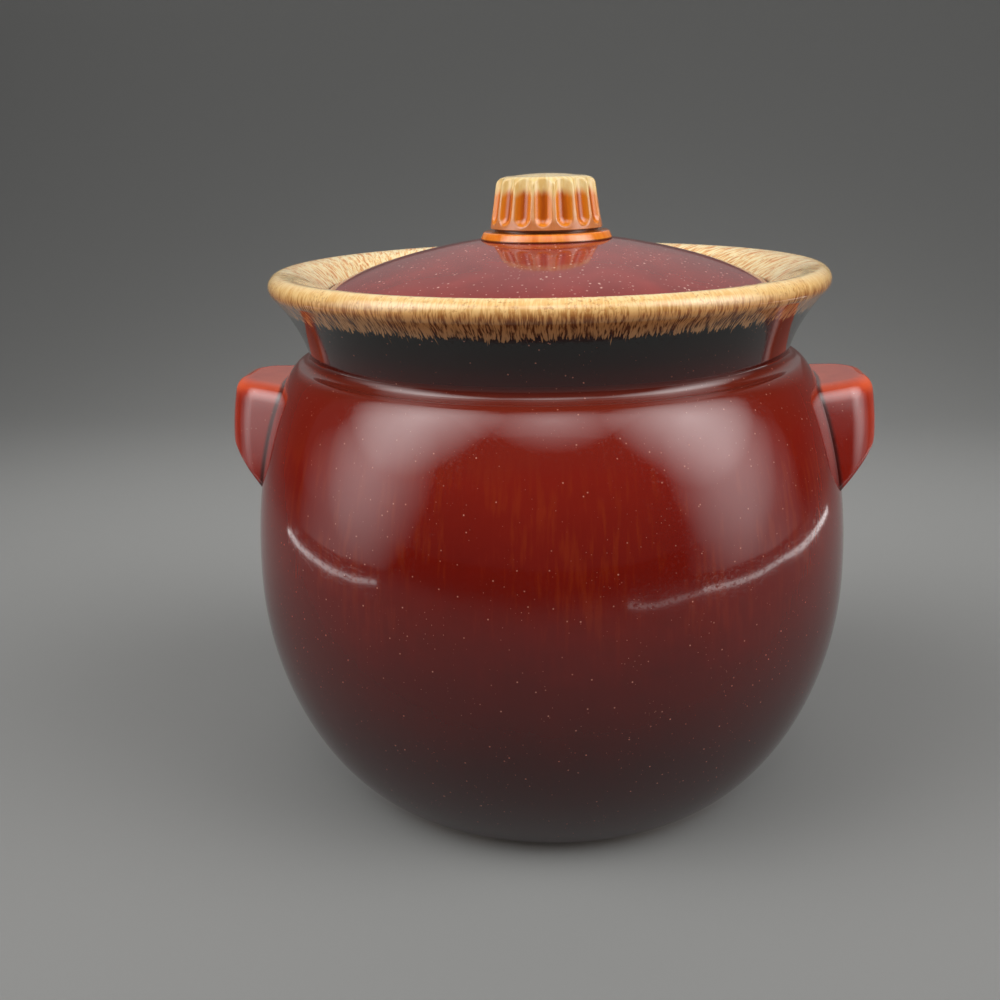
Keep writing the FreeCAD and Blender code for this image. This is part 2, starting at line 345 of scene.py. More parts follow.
@dataclass(frozen=True)
class PotGlaze:
    """Red-brown glaze, nearly black under a cream rim that has run down in fine hairs."""

    gloss: Gloss = Gloss()
    top: float = 150.0
    crease: float = 121.0
    even_fade: float = 15.0
    amber_share: float = 0.16
    ring_radius: float = 73.0
    streak_width: float = 1.3
    fibre_width: float = 0.42
    strand_width: float = 0.55
    tuft_width: float = 2.2
    hair_run: float = 16.0
    fringe_run: float = 11.6
    fringe_sway: float = 5.0
    strand_run: float = 14.2
    seat_run: float = -13.6
    bare_height: float = 1.6
    bare_roughness: float = 0.6

    def material(self) -> bpy.types.Material:
        """Build the glaze."""
        shader = Shader("pot_glaze")
        place = shader.place()
        height = shader.height(place)
        run = shader.attribute("run")
        body = self._body(shader, place, height)
        body = shader.mix(run.between(self.seat_run + 0.4, self.seat_run - 0.6), body,
                          self._inside(shader, place))
        cream_mask, cream = self._rim(shader, place, run)
        colour = shader.mix(cream_mask, body, cream)
        colour = self._foot(shader, place, height, colour)
        bare = height.between(self.bare_height, self.bare_height - 0.7)
        return self.gloss.finish(shader, place, colour, bare * self.bare_roughness)

    def _round(self, shader: Shader, place: Value, along: Feed, swirl: Feed = 0.0) -> Value:
        """Lay a pattern round the pot."""
        return shader.round_axis(place, self.ring_radius, along, swirl)

    def _body(self, shader: Shader, place: Value, height: Value) -> Value:
        """The red-brown glaze, by height, with faint streaks that run down."""
        streak_place = self._round(shader, place, height * 0.12)
        streaks = shader.noise(streak_place, self.streak_width, 3.0)
        clouds = shader.noise(place, 30.0, 3.0, 0.6)
        mottle = shader.noise(place, 7.0, 3.0, 0.8)
        uneven = 0.03 * (streaks - 0.5) + 0.12 * (clouds - 0.5) + 0.05 * (mottle - 0.5)
        level = height / self.top + uneven * height.between(self.crease,
                                                            self.crease - self.even_fade)
        # The colour by height grows darker and greyer towards the foot, partly the glaze's own
        # tone and partly painted shade; the lighter tan stop at the crease, at 124 mm, is a
        # painted highlight.
        colour = shader.ramp(
            level, (0.0, 40, 20, 22), (14.0, 44, 14, 16), (34.0, 52, 9, 9), (60.0, 78, 11, 6),
            (88.0, 110, 18, 8), (108.0, 126, 25, 12), (120.0, 122, 32, 19), (124.0, 112, 40, 26),
            (127.0, 58, 9, 7), (132.0, 32, 6, 5), (137.0, 12, 8, 6), span=self.top)
        amber = (streaks + 0.7 * clouds).between(0.84, 1.06) * height.between(62.0, 88.0)
        colour = shader.mix(amber * height.between(118.0, 100.0) * self.amber_share, colour,
                            tone(158, 62, 16))
        scattered = shader.noise(place, 9.0, 1.0).between(0.40, 0.62)
        large = shader.specks(place, 2.7, 0.28) * 0.8
        small = shader.specks(place, 1.3, 0.15) * scattered * 0.7
        return shader.mix(shader.math("MAXIMUM", large, small), colour, tone(222, 150, 128))

    def _inside(self, shader: Shader, place: Value) -> Value:
        """The brown glaze of the inside."""
        clouds = shader.noise(place, 22.0, 4.0, 0.5)
        return shader.ramp(clouds, (0.3, 84, 30, 14), (0.7, 120, 46, 20))

    def _rim(self, shader: Shader, place: Value, run: Value) -> tuple[Value, Value]:
        """The cream of the rim.

        Args:
            shader: The tree.
            place: The place on the object.
            run: How far below the ridge, along the outline; inside the mouth it is negative.

        Returns:
            Where the cream lies, and its colour.
        """
        sway = 0.003 * (shader.noise(place, 7.0, 1.0) - 0.5) * run
        fibres = shader.noise(self._round(shader, place, run * 0.16, sway), self.fibre_width, 2.0)
        tufts = shader.noise(self._round(shader, place, run * 0.35, sway), self.tuft_width, 3.0,
                             0.5)
        down = run / self.hair_run
        dark = shader.ramp(
            down, (0.0, 246, 204, 136), (3.0, 238, 184, 112), (5.2, 158, 90, 38),
            (7.5, 98, 52, 22), (11.0, 72, 40, 18), (self.hair_run, 40, 26, 14),
            span=self.hair_run)
        light = shader.ramp(
            down, (0.0, 253, 222, 160), (3.4, 250, 208, 140), (5.4, 220, 156, 90),
            (8.0, 196, 138, 82), (11.0, 190, 140, 92), (self.hair_run, 150, 108, 70),
            span=self.hair_run)
        outside = shader.mix((fibres + 0.5 * (tufts - 0.5)).between(0.36, 0.60), dark, light)
        colour = shader.mix(run.between(0.5, -1.0), outside, self._mouth(shader, place, run))
        grain = shader.noise(place, 0.8, 2.0).between(0.54, 0.64)
        patches = shader.noise(place, 6.0, 2.0).between(0.38, 0.62)
        flecks = grain * patches * run.between(6.0, 4.0) * run.between(-3.0, -0.5) * 0.5
        end = (self.fringe_run + self.fringe_sway * (tufts - 0.5)
               + self.fringe_sway * (fibres - 0.5))
        strand_place = self._round(shader, place, run * 0.05, sway)
        strands = shader.noise(strand_place, self.strand_width, 1.0)
        strands = strands - 0.05 * (run - self.fringe_run)
        strands = strands.between(0.63, 0.68) * run.between(self.strand_run + 1.0, self.strand_run)
        mask = shader.math("MAXIMUM", (end - run).between(-0.3, 0.4), strands)
        mask = mask * run.between(self.seat_run - 0.6, self.seat_run + 0.4)
        return mask, shader.mix(flecks, colour, tone(178, 108, 56))

    def _mouth(self, shader: Shader, place: Value, run: Value) -> Value:
        """The cream inside the rim, with soft amber streaks that run to the lid."""
        streak_place = self._round(shader, place, run * 0.35, run * 0.008)
        streaks = shader.noise(streak_place, self.streak_width, 3.0, 0.9)
        colour = shader.ramp(streaks, (0.36, 222, 146, 76), (0.46, 248, 204, 136),
                             (0.56, 255, 234, 178))
        fine = shader.math("ABSOLUTE", shader.noise(streak_place, 0.8, 2.0, 0.8) - 0.5)
        patches = shader.noise(place, 5.0, 1.0).between(0.42, 0.58)
        return shader.mix(fine.between(0.035, 0.008) * patches * 0.6, colour, tone(176, 104, 54))

    def _foot(self, shader: Shader, place: Value, height: Value, colour: Value) -> Value:
        """The bare clay that the pot stands on, and the thin glaze just above it."""
        wander = shader.noise(self._round(shader, place, 0.0), 6.0, 3.0)
        line = height + 1.6 * (wander - 0.5)
        thin = shader.mix(line.between(3.2, 1.6) * 0.8, colour, tone(150, 60, 26))
        grain = shader.noise(place, 0.5, 2.0)
        clay = shader.ramp(grain, (0.3, 172, 140, 108), (0.7, 206, 178, 144))
        return shader.mix(line.between(1.5, 1.0), thin, clay)


@dataclass(frozen=True)
class LugGlaze:
    """The same glaze, drawn thin and orange over the edges of a lug, with a painted highlight on
    its top.
    """

    gloss: Gloss = Gloss()
    seam_width: float = 1.3

    def material(self) -> bpy.types.Material:
        """Build the glaze."""
        shader = Shader("lug_glaze")
        place = shader.place()
        clouds = shader.noise(place, 9.0, 3.0, 0.4)
        # The edge attribute is high where the glaze runs thin on the outer end and corners, and on
        # the top face, where it is a painted highlight.
        edge = shader.attribute("edge") + 0.3 * (clouds - 0.5)
        colour = shader.ramp(edge, (0.0, 136, 28, 14), (0.45, 186, 62, 40), (0.85, 236, 98, 58))
        # Dark line where the lug meets the pot: partly glaze pooled in the joint, partly painted
        # shade.
        seam = shader.attribute("seam").between(self.seam_width, self.seam_width - 1.0)
        colour = shader.mix(seam * 0.85, colour, tone(44, 14, 12))
        pale = shader.specks(place, 2.6, 0.24)
        colour = shader.mix(pale * 0.6, colour, tone(226, 160, 136))
        return self.gloss.finish(shader, place, colour)


@dataclass(frozen=True)
class LidGlaze:
    """Dark red-brown glaze with pale specks."""

    gloss: Gloss = Gloss()

    def material(self) -> bpy.types.Material:
        """Build the glaze."""
        shader = Shader("lid_glaze")
        place = shader.place()
        clouds = shader.noise(place, 16.0, 4.0, 0.5)
        colour = shader.ramp(clouds, (0.3, 122, 34, 30), (0.7, 146, 46, 40))
        scattered = shader.noise(place, 11.0, 1.0).between(0.38, 0.56)
        large = shader.specks(place, 2.2, 0.45) * scattered
        small = shader.specks(place, 1.5, 0.24) * 0.75
        colour = shader.mix(shader.math("MAXIMUM", large, small), colour, tone(246, 200, 184))
        return self.gloss.finish(shader, place, colour)


@dataclass(frozen=True)
class KnobGlaze:
    """Amber glaze that lies deep in the flutes, thin on the ribs and cream on the crown."""

    gloss: Gloss = Gloss()
    ring_radius: float = 14.0
    cream_reach: float = 5.2
    cream_fade: float = 1.4
    foot_start: float = 10.2
    foot_full: float = 12.7
    grip_end: float = 14.3
    flange_start: float = 15.0
    seat_depth: float = 17.3

    def material(self) -> bpy.types.Material:
        """Build the glaze."""
        shader = Shader("knob_glaze")
        place = shader.place()
        groove = shader.attribute("groove")
        below = shader.attribute("below")
        streaks = shader.noise(shader.round_axis(place, self.ring_radius, below * 0.2), 1.1, 3.0)
        amber = shader.ramp(groove + 0.2 * (streaks - 0.5), (0.0, 234, 178, 128),
                            (0.06, 226, 146, 82), (0.20, 236, 142, 38), (0.75, 226, 120, 18),
                            (1.0, 184, 84, 12))
        flange = shader.ramp(streaks, (0.35, 236, 122, 28), (0.65, 246, 146, 52))
        amber = shader.mix(below.between(self.grip_end, self.flange_start - 0.1), amber, flange)
        foot = below.between(self.foot_start, self.foot_full) * 0.75
        foot = foot * groove.between(0.3, 0.0) * below.between(self.grip_end + 0.2,
                                                              self.grip_end - 0.2)
        amber = shader.mix(foot, amber, tone(196, 108, 52))
        cream = shader.ramp(streaks, (0.35, 240, 200, 124), (0.6, 252, 226, 164))
        line = below + 3.0 * (streaks - 0.5) + groove
        colour = shader.mix(line.between(self.cream_reach - self.cream_fade,
                                         self.cream_reach + self.cream_fade), cream, amber)
        # Painted shade in the narrow waist under the grip and in the joint where the knob sits on
        # the lid.
        waist = below.between(self.grip_end - 0.3, self.grip_end)
        waist = waist * below.between(self.flange_start + 0.2, self.flange_start)
        lid_joint_shade = below.between(self.seat_depth - 0.6, self.seat_depth - 0.3)
        colour = shader.mix((waist + lid_joint_shade) * 0.85, colour, tone(84, 40, 20))
        return self.gloss.finish(shader, place, colour)


# ---- Modelling ----


class Section:
    """Half of a turned shape's outline: a wire on the XZ plane, with its length marked on it."""

    def __init__(self, radius: float, height: float) -> None:
        """Start the wire."""
        self.mesh = bmesh.new()
        self.run = self.mesh.verts.layers.float.new("run")
        self.tip = self.mesh.verts.new((radius, 0.0, height))
        self.corners: list[tuple[bmesh.types.BMVert, float]] = []

    def line_to(self, radius: float, height: float, rounding: float = 0.0) -> None:
        """Go on straight.

        Args:
            radius: How far from the axis the line ends.
            height: How high it ends.
            rounding: How far before and after this corner it is rounded off.
        """
        new = self.mesh.verts.new((radius, 0.0, height))
        new[self.run] = self.tip[self.run] + (new.co - self.tip.co).length
        self.mesh.edges.new((self.tip, new))
        if rounding:
            self.corners.append((new, rounding))
        self.tip = new

    def through(self, points: Sequence[Point]) -> None:
        """Go on through points that lie close together."""
        for radius, height in points:
            self.line_to(radius, height)

    def curve_to(self, *poles: Point, steps: int = 24) -> None:
        """Go on along a Bezier curve, whose first pole is the wire's tip."""
        start = (self.tip.co.x, self.tip.co.z)
        self.through(bezier((start, *poles), steps))

    def turn(self, steps: int) -> bmesh.types.BMesh:
        """Round the corners and turn the wire about the axis.

        Args:
            steps: How many steps a full turn has.

        Returns:
            The closed mesh, with its faces outwards.
        """
        for corner, rounding in self.corners:
            bmesh.ops.bevel(self.mesh, geom=[corner], offset=rounding, affect="VERTICES",
                            segments=CORNER_STEPS, profile=0.5, material=-1)
        wire = list(self.mesh.verts) + list(self.mesh.edges)
        bmesh.ops.spin(self.mesh, geom=wire, cent=(0.0, 0.0, 0.0), axis=(0.0, 0.0, 1.0),
                       angle=FULL_TURN, steps=steps, use_merge=True)
        bmesh.ops.remove_doubles(self.mesh, verts=self.mesh.verts, dist=DOUBLES)
        bmesh.ops.recalc_face_normals(self.mesh, faces=self.mesh.faces)
        return self.mesh


def bezier(poles: Sequence[Point], steps: int) -> list[Point]:
    """Points along a Bezier curve, without its start, up to its last pole."""
    points = []
    for step in range(1, steps + 1):
        share = step / steps
        row = [Vector(pole) for pole in poles]
        while len(row) > 1:
            row = [first.lerp(second, share) for first, second in zip(row, row[1:])]
        points.append((row[0].x, row[0].y))
    return points


def arc(middle: Point, radius: float, start: float, stop: float, steps: int) -> list[Point]:
    """Points on a circle's arc between two angles, without its start."""
    angles = [start + (stop - start) * step / steps for step in range(1, steps + 1)]
    return [(middle[0] + radius * math.cos(angle), middle[1] + radius * math.sin(angle))
            for angle in angles]


def circle_through(first: Point, second: Point, third: Point) -> tuple[Point, float]:
    """The centre and the radius of the circle through three points."""
    ax, ay = second[0] - first[0], second[1] - first[1]
    bx, by = third[0] - first[0], third[1] - first[1]
    twice_area = 2.0 * (ax * by - ay * bx)
    first_square = ax * ax + ay * ay
    second_square = bx * bx + by * by
    x = (by * first_square - ay * second_square) / twice_area
    y = (ax * second_square - bx * first_square) / twice_area
    return (first[0] + x, first[1] + y), math.hypot(x, y)


def arc_through(first: Point, second: Point, third: Point, steps: int) -> list[Point]:
    """Points on the arc from the first point by the second to the third, without the first."""
    middle, radius = circle_through(first, second, third)
    start = math.atan2(first[1] - middle[1], first[0] - middle[0])
    stop = math.atan2(third[1] - middle[1], third[0] - middle[0])
    sweep = (stop - start + math.pi) % FULL_TURN - math.pi
    return arc(middle, radius, start, start + sweep, steps)


def blended_max(first: np.ndarray, second: np.ndarray, width: float) -> np.ndarray:
    """The larger of two distances, eased over a width where they are alike."""
    share = np.maximum(width - np.abs(first - second), 0.0) / width
    return np.maximum(first, second) + share * share * width / 4.0


def smooth_object(name: str, shape: bmesh.types.BMesh,
                  material: bpy.types.Material) -> bpy.types.Object:
    """Put a finished shape in the scene.

    Args:
        name: The object's name.
        shape: Its shape; it is freed here.
        material: What it is covered with.

    Returns:
        The object.
    """
    mesh = bpy.data.meshes.new(name)
    shape.to_mesh(mesh)
    shape.free()
    mesh.materials.append(material)
    mesh.polygons.foreach_set("use_smooth", [True] * len(mesh.polygons))
    made = bpy.data.objects.new(name, mesh)
    bpy.context.scene.collection.objects.link(made)
    return made


def add_piece(name: str, shape: bmesh.types.BMesh, material: bpy.types.Material,
              body: Body, node: str) -> None:
    """Make a shown piece of a finished shape.

    Args:
        name: The piece's name.
        shape: Its shape, in the frame's own place.
        material: Its glaze.
        body: The body that it rides on.
        node: The node of the frame that it stands for.
    """
    piece = smooth_object(name, shape, material)
    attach(piece, body.value)
    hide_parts(node)
    LOG.info("%s: %d faces", name, len(piece.data.polygons))


# ---- The pot's own pieces ----


@dataclass
class PotBody:
    """The hollow pot, from its bare foot ring to its rolled rim and the ledge for the lid."""

    belly_radius: float
    rim_height: float
    foot_radius: float = 57.0 * MM
    foot_band: float = 1.0 * MM
    belly_height: float = 63.0 * MM
    shoulder_height: float = 123.0 * MM
    neck_radius: float = 66.3 * MM
    crease_radius: float = 3.2 * MM
    crease_rise: float = 2.6 * MM
    flare_radius: float = 75.2 * MM
    flare_height: float = 142.0 * MM
    flare_bow: float = 1.1 * MM
    rim_radius: float = 76.2 * MM
    ridge_radius: float = 73.4 * MM
    wall: float = 5.6 * MM
    floor_thickness: float = 7.5 * MM
    floor_radius: float = 50.0 * MM
    throat_radius: float = 57.5 * MM
    throat_bottom: float = 124.4 * MM
    throat_ease: float = 5.0 * MM
    shoulder_ease: float = 8.0 * MM
    foot_ring_width: float = 8.0 * MM
    foot_recess: float = 1.5 * MM
    seat_radius: float = 61.3 * MM
    seat_top: float = 141.9 * MM
    ledge_height: float = 138.4 * MM
    corner: float = 0.6 * MM
    lower_fullness: tuple[float, float] = (1.41, 1.02)
    upper_fullness: tuple[float, float] = (1.42, 0.993)
    swell_steps: int = 40
    steps: int = 256

    def swell(self, end: Point, peak: Point, fullness: tuple[float, float]) -> list[Point]:
        """Points of a quarter of a rounded belly.

        Args:
            end: Its level end, at the foot or the shoulder.
            peak: Its upright end, where the belly is widest.
            fullness: The powers that say how full it is, outwards and upwards.

        Returns:
            The points from end to peak, both of them included.
        """
        points = []
        for step in range(self.swell_steps + 1):
            angle = QUARTER_TURN * (1.0 - step / self.swell_steps)
            across = end[0] + (peak[0] - end[0]) * max(math.cos(angle), 0.0) ** fullness[0]
            up = peak[1] + (end[1] - peak[1]) * math.sin(angle) ** fullness[1]
            points.append((across, up))
        return points

    def lower_swell(self, end: Point, peak: Point) -> list[Point]:
        """The belly below its widest part."""
        return self.swell(end, peak, self.lower_fullness)

    def upper_swell(self) -> list[Point]:
        """The belly above its widest part, from there up to the shoulder."""
        shoulder = (self.neck_radius + self.crease_radius, self.shoulder_height)
        peak = (self.belly_radius, self.belly_height)
        return self.swell(shoulder, peak, self.upper_fullness)[::-1]

    def outer_radius(self, height: np.ndarray) -> np.ndarray:
        """How far out the upper belly lies at each height."""
        points = self.upper_swell()
        return np.interp(height, [up for _, up in points], [across for across, _ in points])

    def shape(self) -> bmesh.types.BMesh:
        """Turn the pot's outline into its closed shell."""
        ring_inside = self.foot_radius - self.foot_ring_width
        section = Section(0.0, self.foot_recess)
        section.line_to(ring_inside - self.foot_recess, self.foot_recess, self.corner)
        section.line_to(ring_inside, 0.0, self.corner)
        section.line_to(self.foot_radius, 0.0, self.corner)
        section.line_to(self.foot_radius, self.foot_band)
        section.through(self.lower_swell((self.foot_radius, self.foot_band),
                                         (self.belly_radius, self.belly_height))[1:])
        section.through(self.upper_swell()[1:])
        neck = (self.neck_radius, self.shoulder_height + self.crease_rise)
        section.curve_to((self.neck_radius, self.shoulder_height), neck, steps=8)
        self._flare(section, neck)
        ridge_run = section.tip[section.run]
        half_way = (self.ridge_radius + self.seat_radius) / 2.0
        section.curve_to((half_way, self.rim_height), (self.seat_radius, self.seat_top), steps=24)
        self._mouth(section)
        self._inside(section)
        for vertex in section.mesh.verts:
            vertex[section.run] = (ridge_run - vertex[section.run]) * PER_MM
        return section.turn(self.steps)

    def _flare(self, section: Section, neck: Point) -> None:
        """Go on from the neck up the flare and round the rolled rim to its ridge."""
        flare = (self.flare_radius, self.flare_height)
        chord = Vector(flare) - Vector(neck)
        inward = Vector((-chord.y, chord.x)).normalized()
        bowed = (Vector(neck) + Vector(flare)) / 2.0 + inward * self.flare_bow
        section.through(arc_through(neck, (bowed.x, bowed.y), flare, 28))
        outermost = (self.rim_radius, (self.flare_height + self.rim_height) / 2.0)
        section.through(arc_through(flare, outermost, (self.ridge_radius, self.rim_height), 16))

    def _mouth(self, section: Section) -> None:
        """Go on down the seat of the lid, across the ledge and down the throat."""
        section.line_to(self.seat_radius, self.ledge_height, self.corner)
        section.line_to(self.throat_radius, self.ledge_height, self.corner)
        section.line_to(self.throat_radius, self.throat_bottom)

    def _inside(self, section: Section) -> None:
        """Go on down the inside of the belly to the middle of the floor."""
        inner = self.belly_radius - self.wall
        section.curve_to((self.throat_radius, self.throat_bottom - self.throat_ease),
                         (inner, self.shoulder_height - self.shoulder_ease),
                         (inner, self.belly_height))
        floor_edge = (self.floor_radius, self.floor_thickness)
        section.through(self.lower_swell(floor_edge, (inner, self.belly_height))[-2::-1])
        section.line_to(0.0, self.floor_thickness)

    def build(self) -> None:
        """Model and dress the pot."""
        add_piece("glazed_pot", self.shape(), PotGlaze().material(),
                  Body.POT, "pot_body")


@dataclass
class LugHandle:
    """A lug, modelled as a lump that is pressed to its planes and roundings."""

    pot: PotBody
    front: float
    top: float
    half_width: float
    crown: float = 1.0 * MM
    crown_slope: float = 0.083
    plan_corner: float = 8.1 * MM
    taper: float = math.radians(20.0)
    lean: float = math.radians(12.0)
    front_foot: float = 104.6 * MM
    under_radius: float = 17.5 * MM
    under_slant: float = math.radians(56.9)
    keel_sag: float = 2.9 * MM
    middle_height: float = 103.0 * MM
    bow_height: float = 12.0 * MM
    side_bow: float = 0.8 * MM
    front_bow: float = 0.8 * MM
    edge_rounding: float = 4.5 * MM
    under_rounding: float = 1.2 * MM
    under_ease: float = 6.0 * MM
    under_sharpness: float = 0.02
    sunk: float = 2.5 * MM
    heart_depth: float = 10.0 * MM
    heart_drop: float = 12.0 * MM
    top_glaze_and_highlight_width: float = 2.5 * MM
    thin_front: float = 7.0 * MM
    subdivisions: int = 7
    halvings: int = 26

    def middle(self) -> np.ndarray:
        """A place inside the lug, from which all of its skin is seen."""
        return np.array([self.front - self.heart_depth, 0.0, self.top - self.heart_drop])

    def depth(self, points: np.ndarray) -> np.ndarray:
        """How far outside the lug each point lies; inside it is negative.

        Args:
            points: Points near the lug, one a row.

        Returns:
            A distance for each.
        """
        across, side, up = points[:, 0], np.abs(points[:, 1]), points[:, 2]
        bow = ((up - self.middle_height) / self.bow_height) ** 2
        bowed = across + self.front_bow * bow
        beside = (side * math.cos(self.taper) + self.side_bow * bow
                  + (across - self.front + self.plan_corner) * math.sin(self.taper)
                  + (up - self.middle_height) * math.tan(self.lean))
        plan = self._rounded(bowed - self.front, beside - self.half_width)
        below = np.clip((self.front_foot - up) / self.under_ease, self.under_sharpness, 1.0)
        lump = blended_max(plan, self._under(bowed, side, up), self.under_rounding * below)
        from_corner = across - (self.front - self.plan_corner)
        crown = self.top + self.crown + from_corner * self.crown_slope
        lump = blended_max(lump, up - crown, self.edge_rounding)
        return np.maximum(lump, self.wall_gap(points))

    def _rounded(self, first: np.ndarray, second: np.ndarray) -> np.ndarray:
        """How far outside two square faces whose corner is rounded off."""
        first, second = first + self.plan_corner, second + self.plan_corner
        outside = np.hypot(np.maximum(first, 0.0), np.maximum(second, 0.0))
        inside = np.minimum(np.maximum(first, second), 0.0)
        return outside + inside - self.plan_corner

    def _under(self, across: np.ndarray, side: np.ndarray, up: np.ndarray) -> np.ndarray:
        """How far outside the front, the rounding under it and the slope back to the pot."""
        out, down = across - (self.front - self.under_radius), self.front_foot - up
        turned = np.arctan2(down, out)
        round_under = np.hypot(out, down) - self.under_radius
        slope = self._slope(across, up)
        low = np.where(turned <= QUARTER_TURN - self.under_slant, round_under, slope)
        front = np.where(turned <= 0.0, across - self.front, low)
        rise = self.keel_sag * (side / self.half_width) ** 2
        return np.maximum(front, self._slope(across, up - rise))

    def _slope(self, across: np.ndarray, up: np.ndarray) -> np.ndarray:
        """How far below the slope that runs from the rounding back to the pot's wall."""
        sine, cosine = math.sin(self.under_slant), math.cos(self.under_slant)
        touch_across = self.front - self.under_radius * (1.0 - sine)
        touch_up = self.front_foot - self.under_radius * cosine
        return (across - touch_across) * sine - (up - touch_up) * cosine

    def wall_gap(self, points: np.ndarray) -> np.ndarray:
        """How far behind the face that is sunk in the pot's wall; in front it is negative."""
        wall = self.pot.outer_radius(points[:, 2]) - self.sunk
        return wall - np.hypot(points[:, 0], points[:, 1])

    def shape(self) -> bmesh.types.BMesh:
        """Press a ball to the lug's surface, on the +X side."""
        ball = bmesh.new()
        bmesh.ops.create_icosphere(ball, subdivisions=self.subdivisions, radius=1.0)
        rays = np.array([vertex.co for vertex in ball.verts])
        near = np.zeros(len(rays))
        far = np.full(len(rays), 2.0 * self.half_width)
        for _ in range(self.halvings):
            reach = (near + far) / 2.0
            outside = self.depth(self.middle() + rays * reach[:, None]) > 0.0
            near, far = np.where(outside, near, reach), np.where(outside, reach, far)
        points = self.middle() + rays * near[:, None]
        edge = ball.verts.layers.float.new("edge")
        # The seam attribute is the distance from the pot's wall; the glaze uses it for a dark
        # joint that is partly painted shade.
        seam = ball.verts.layers.float.new("seam")
        thin = self._thin_glaze_and_top_highlight(points)
        gap = (-self.wall_gap(points) - self.sunk) * PER_MM
        for vertex, point, share, distance in zip(ball.verts, points, thin, gap):
            vertex.co = point
            vertex[edge] = share
            vertex[seam] = distance
        bmesh.ops.recalc_face_normals(ball, faces=ball.faces)
        return ball

    def _thin_glaze_and_top_highlight(self, points: np.ndarray) -> np.ndarray:
        """How light the glaze is drawn: 1 on the outer end and its corners where the glaze runs
        thin, 0 lower down on the sides and below, and high along the top, partly thin glaze over
        the top edge and partly a painted highlight on the top face.
        """
        across, up = points[:, 0], points[:, 2]
        top = np.exp(-((self.top - up) / self.top_glaze_and_highlight_width) ** 2)
        outward = np.clip((across - (self.front - self.thin_front)) / self.thin_front, 0.0, 1.0)
        return np.clip(0.7 * top + 0.6 * outward ** 2, 0.0, 1.0)

    def build(self, name: str, node: str, turn: float, material: bpy.types.Material) -> None:
        """Model one lug and set it at its side of the pot.

        Args:
            name: The piece's name.
            node: The node that it stands for.
            turn: How far round the axis it stands from +X.
            material: Its glaze.
        """
        shape = self.shape()
        bmesh.ops.rotate(shape, verts=shape.verts, cent=(0.0, 0.0, 0.0),
                         matrix=Matrix.Rotation(turn, 3, "Z"))
        add_piece(name, shape, material, Body.POT, node)


@dataclass
class Lid:
    """The domed lid, with a hollow underside and the ring that keeps it in the mouth."""

    radius: float
    seat_height: float
    knob_flange_radius: float
    ring_bottom: float
    ledge_height: float = 138.4 * MM
    edge_thickness: float = 3.5 * MM
    shell: float = 5.0 * MM
    crown_reach: float = 30.0 * MM
    crown_fall: float = 1.6 * MM
    brow_reach: float = 9.1 * MM
    brow_rise: float = 6.5 * MM
    ring_radius: float = 56.0 * MM
    ring_thickness: float = 4.0 * MM
    corner: float = 0.9 * MM
    steps: int = 256

    def shape(self) -> bmesh.types.BMesh:
        """Turn the lid's outline into its closed shell."""
        edge_top = self.ledge_height + self.edge_thickness
        inner_ring = self.ring_radius - self.ring_thickness
        inner_crown = self.seat_height - self.crown_fall - self.shell
        section = Section(0.0, self.seat_height)
        section.line_to(self.knob_flange_radius, self.seat_height)
        section.curve_to((self.crown_reach, self.seat_height - self.crown_fall),
                         (self.radius - self.brow_reach, edge_top + self.brow_rise),
                         (self.radius, edge_top), steps=48)
        section.corners.append((section.tip, self.corner))
        section.line_to(self.radius, self.ledge_height, self.corner)
        section.line_to(self.ring_radius, self.ledge_height, self.corner)
        section.line_to(self.ring_radius, self.ring_bottom, self.corner)
        section.line_to(inner_ring, self.ring_bottom, self.corner)
        section.line_to(inner_ring, self.ledge_height)
        section.curve_to((inner_ring - self.brow_reach, inner_crown),
                         (self.crown_reach, inner_crown), (0.0, inner_crown), steps=32)
        return section.turn(self.steps)

    def build(self) -> None:
        """Model and dress the lid."""
        add_piece("glazed_lid", self.shape(), LidGlaze().material(),
                  Body.COVER, "lid")


